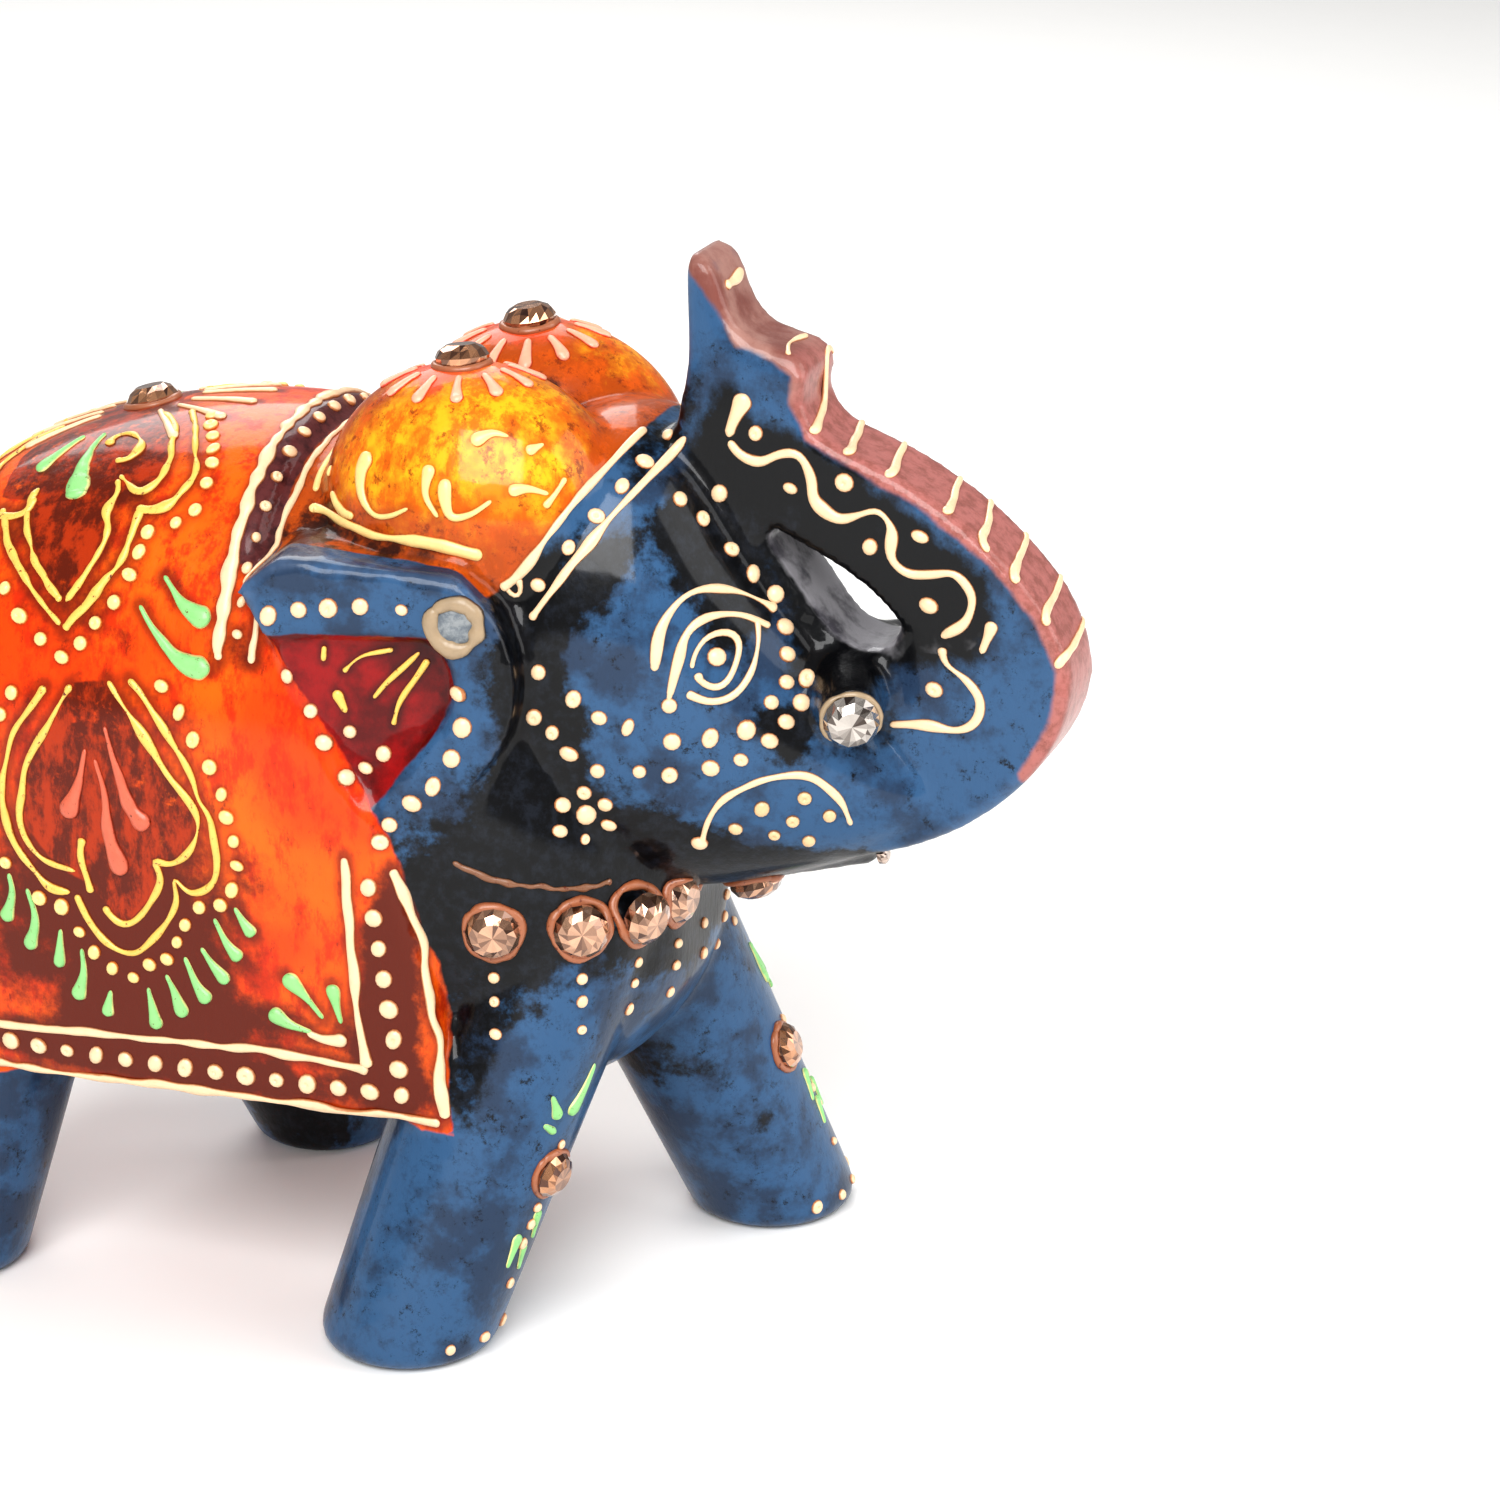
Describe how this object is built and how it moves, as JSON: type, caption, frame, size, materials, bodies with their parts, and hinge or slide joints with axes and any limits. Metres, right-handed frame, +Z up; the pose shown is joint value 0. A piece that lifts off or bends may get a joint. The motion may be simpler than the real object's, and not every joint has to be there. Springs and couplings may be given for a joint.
{
  "type": "carved wooden elephant figurine",
  "caption": "Carved, painted wooden elephant walking with its trunk curled up to its forehead, set with glued stones and raised paste ornament.",
  "frame": {"origin": "on the ground, under the middle of the figure's length and width", "axes": "+X is the way the elephant walks, +Y is its left side, +Z is up"},
  "size_m": [0.1141, 0.055, 0.0999],
  "materials": {
    "painted_wood": "hand-painted and lacquered",
    "crystal": "cut glass with a silvered back",
    "copper_paste": "hard relief paste, copper and cream",
    "cream_paste": "hard relief paste, cream and pastel",
    "glue": "dull dried glue"
  },
  "bodies": {
    "root": {"back_petals": "cream_paste", "back_ring": "copper_paste", "back_stone": "crystal", "carved_block": "painted_wood", "cheek_dots": "cream_paste", "cloth_border_dots": "cream_paste", "cloth_border_lines": "cream_paste", "cloth_drops": "cream_paste", "dome_petals": "cream_paste", "dome_rings": "copper_paste", "dome_stones": "crystal", "dome_strokes": "cream_paste", "ear_glue_bed_right": "glue", "ear_inner_dots": "cream_paste", "ear_rays": "cream_paste", "ear_rim_dots": "cream_paste", "ear_ring_left": "copper_paste", "ear_ring_right": "copper_paste", "ear_stone_left": "crystal", "eye_dots": "cream_paste", "eye_lines": "cream_paste", "front_leg_dots": "cream_paste", "front_leg_rings": "copper_paste", "front_leg_stones": "crystal", "headband_dots": "cream_paste", "headband_lines": "cream_paste", "jaw_dots": "cream_paste", "jaw_lines": "cream_paste", "leg_leaves": "cream_paste", "lip_stone": "crystal", "medallion_dots": "cream_paste", "medallion_petals": "cream_paste", "neck_dots": "cream_paste", "neck_lines": "cream_paste", "necklace_drops": "cream_paste", "necklace_lines": "cream_paste", "necklace_rings": "copper_paste", "necklace_stones": "crystal", "rosette_dots": "cream_paste", "saddle_dots": "cream_paste", "saddle_drops": "cream_paste", "saddle_lines": "cream_paste", "side_medallion_lines": "cream_paste", "toe_dots": "cream_paste", "trunk_dots": "cream_paste", "trunk_stripes": "cream_paste", "trunk_wave_lines": "cream_paste", "tusk_rings": "copper_paste", "tusk_stones": "crystal"}
  },
  "joints": []
}
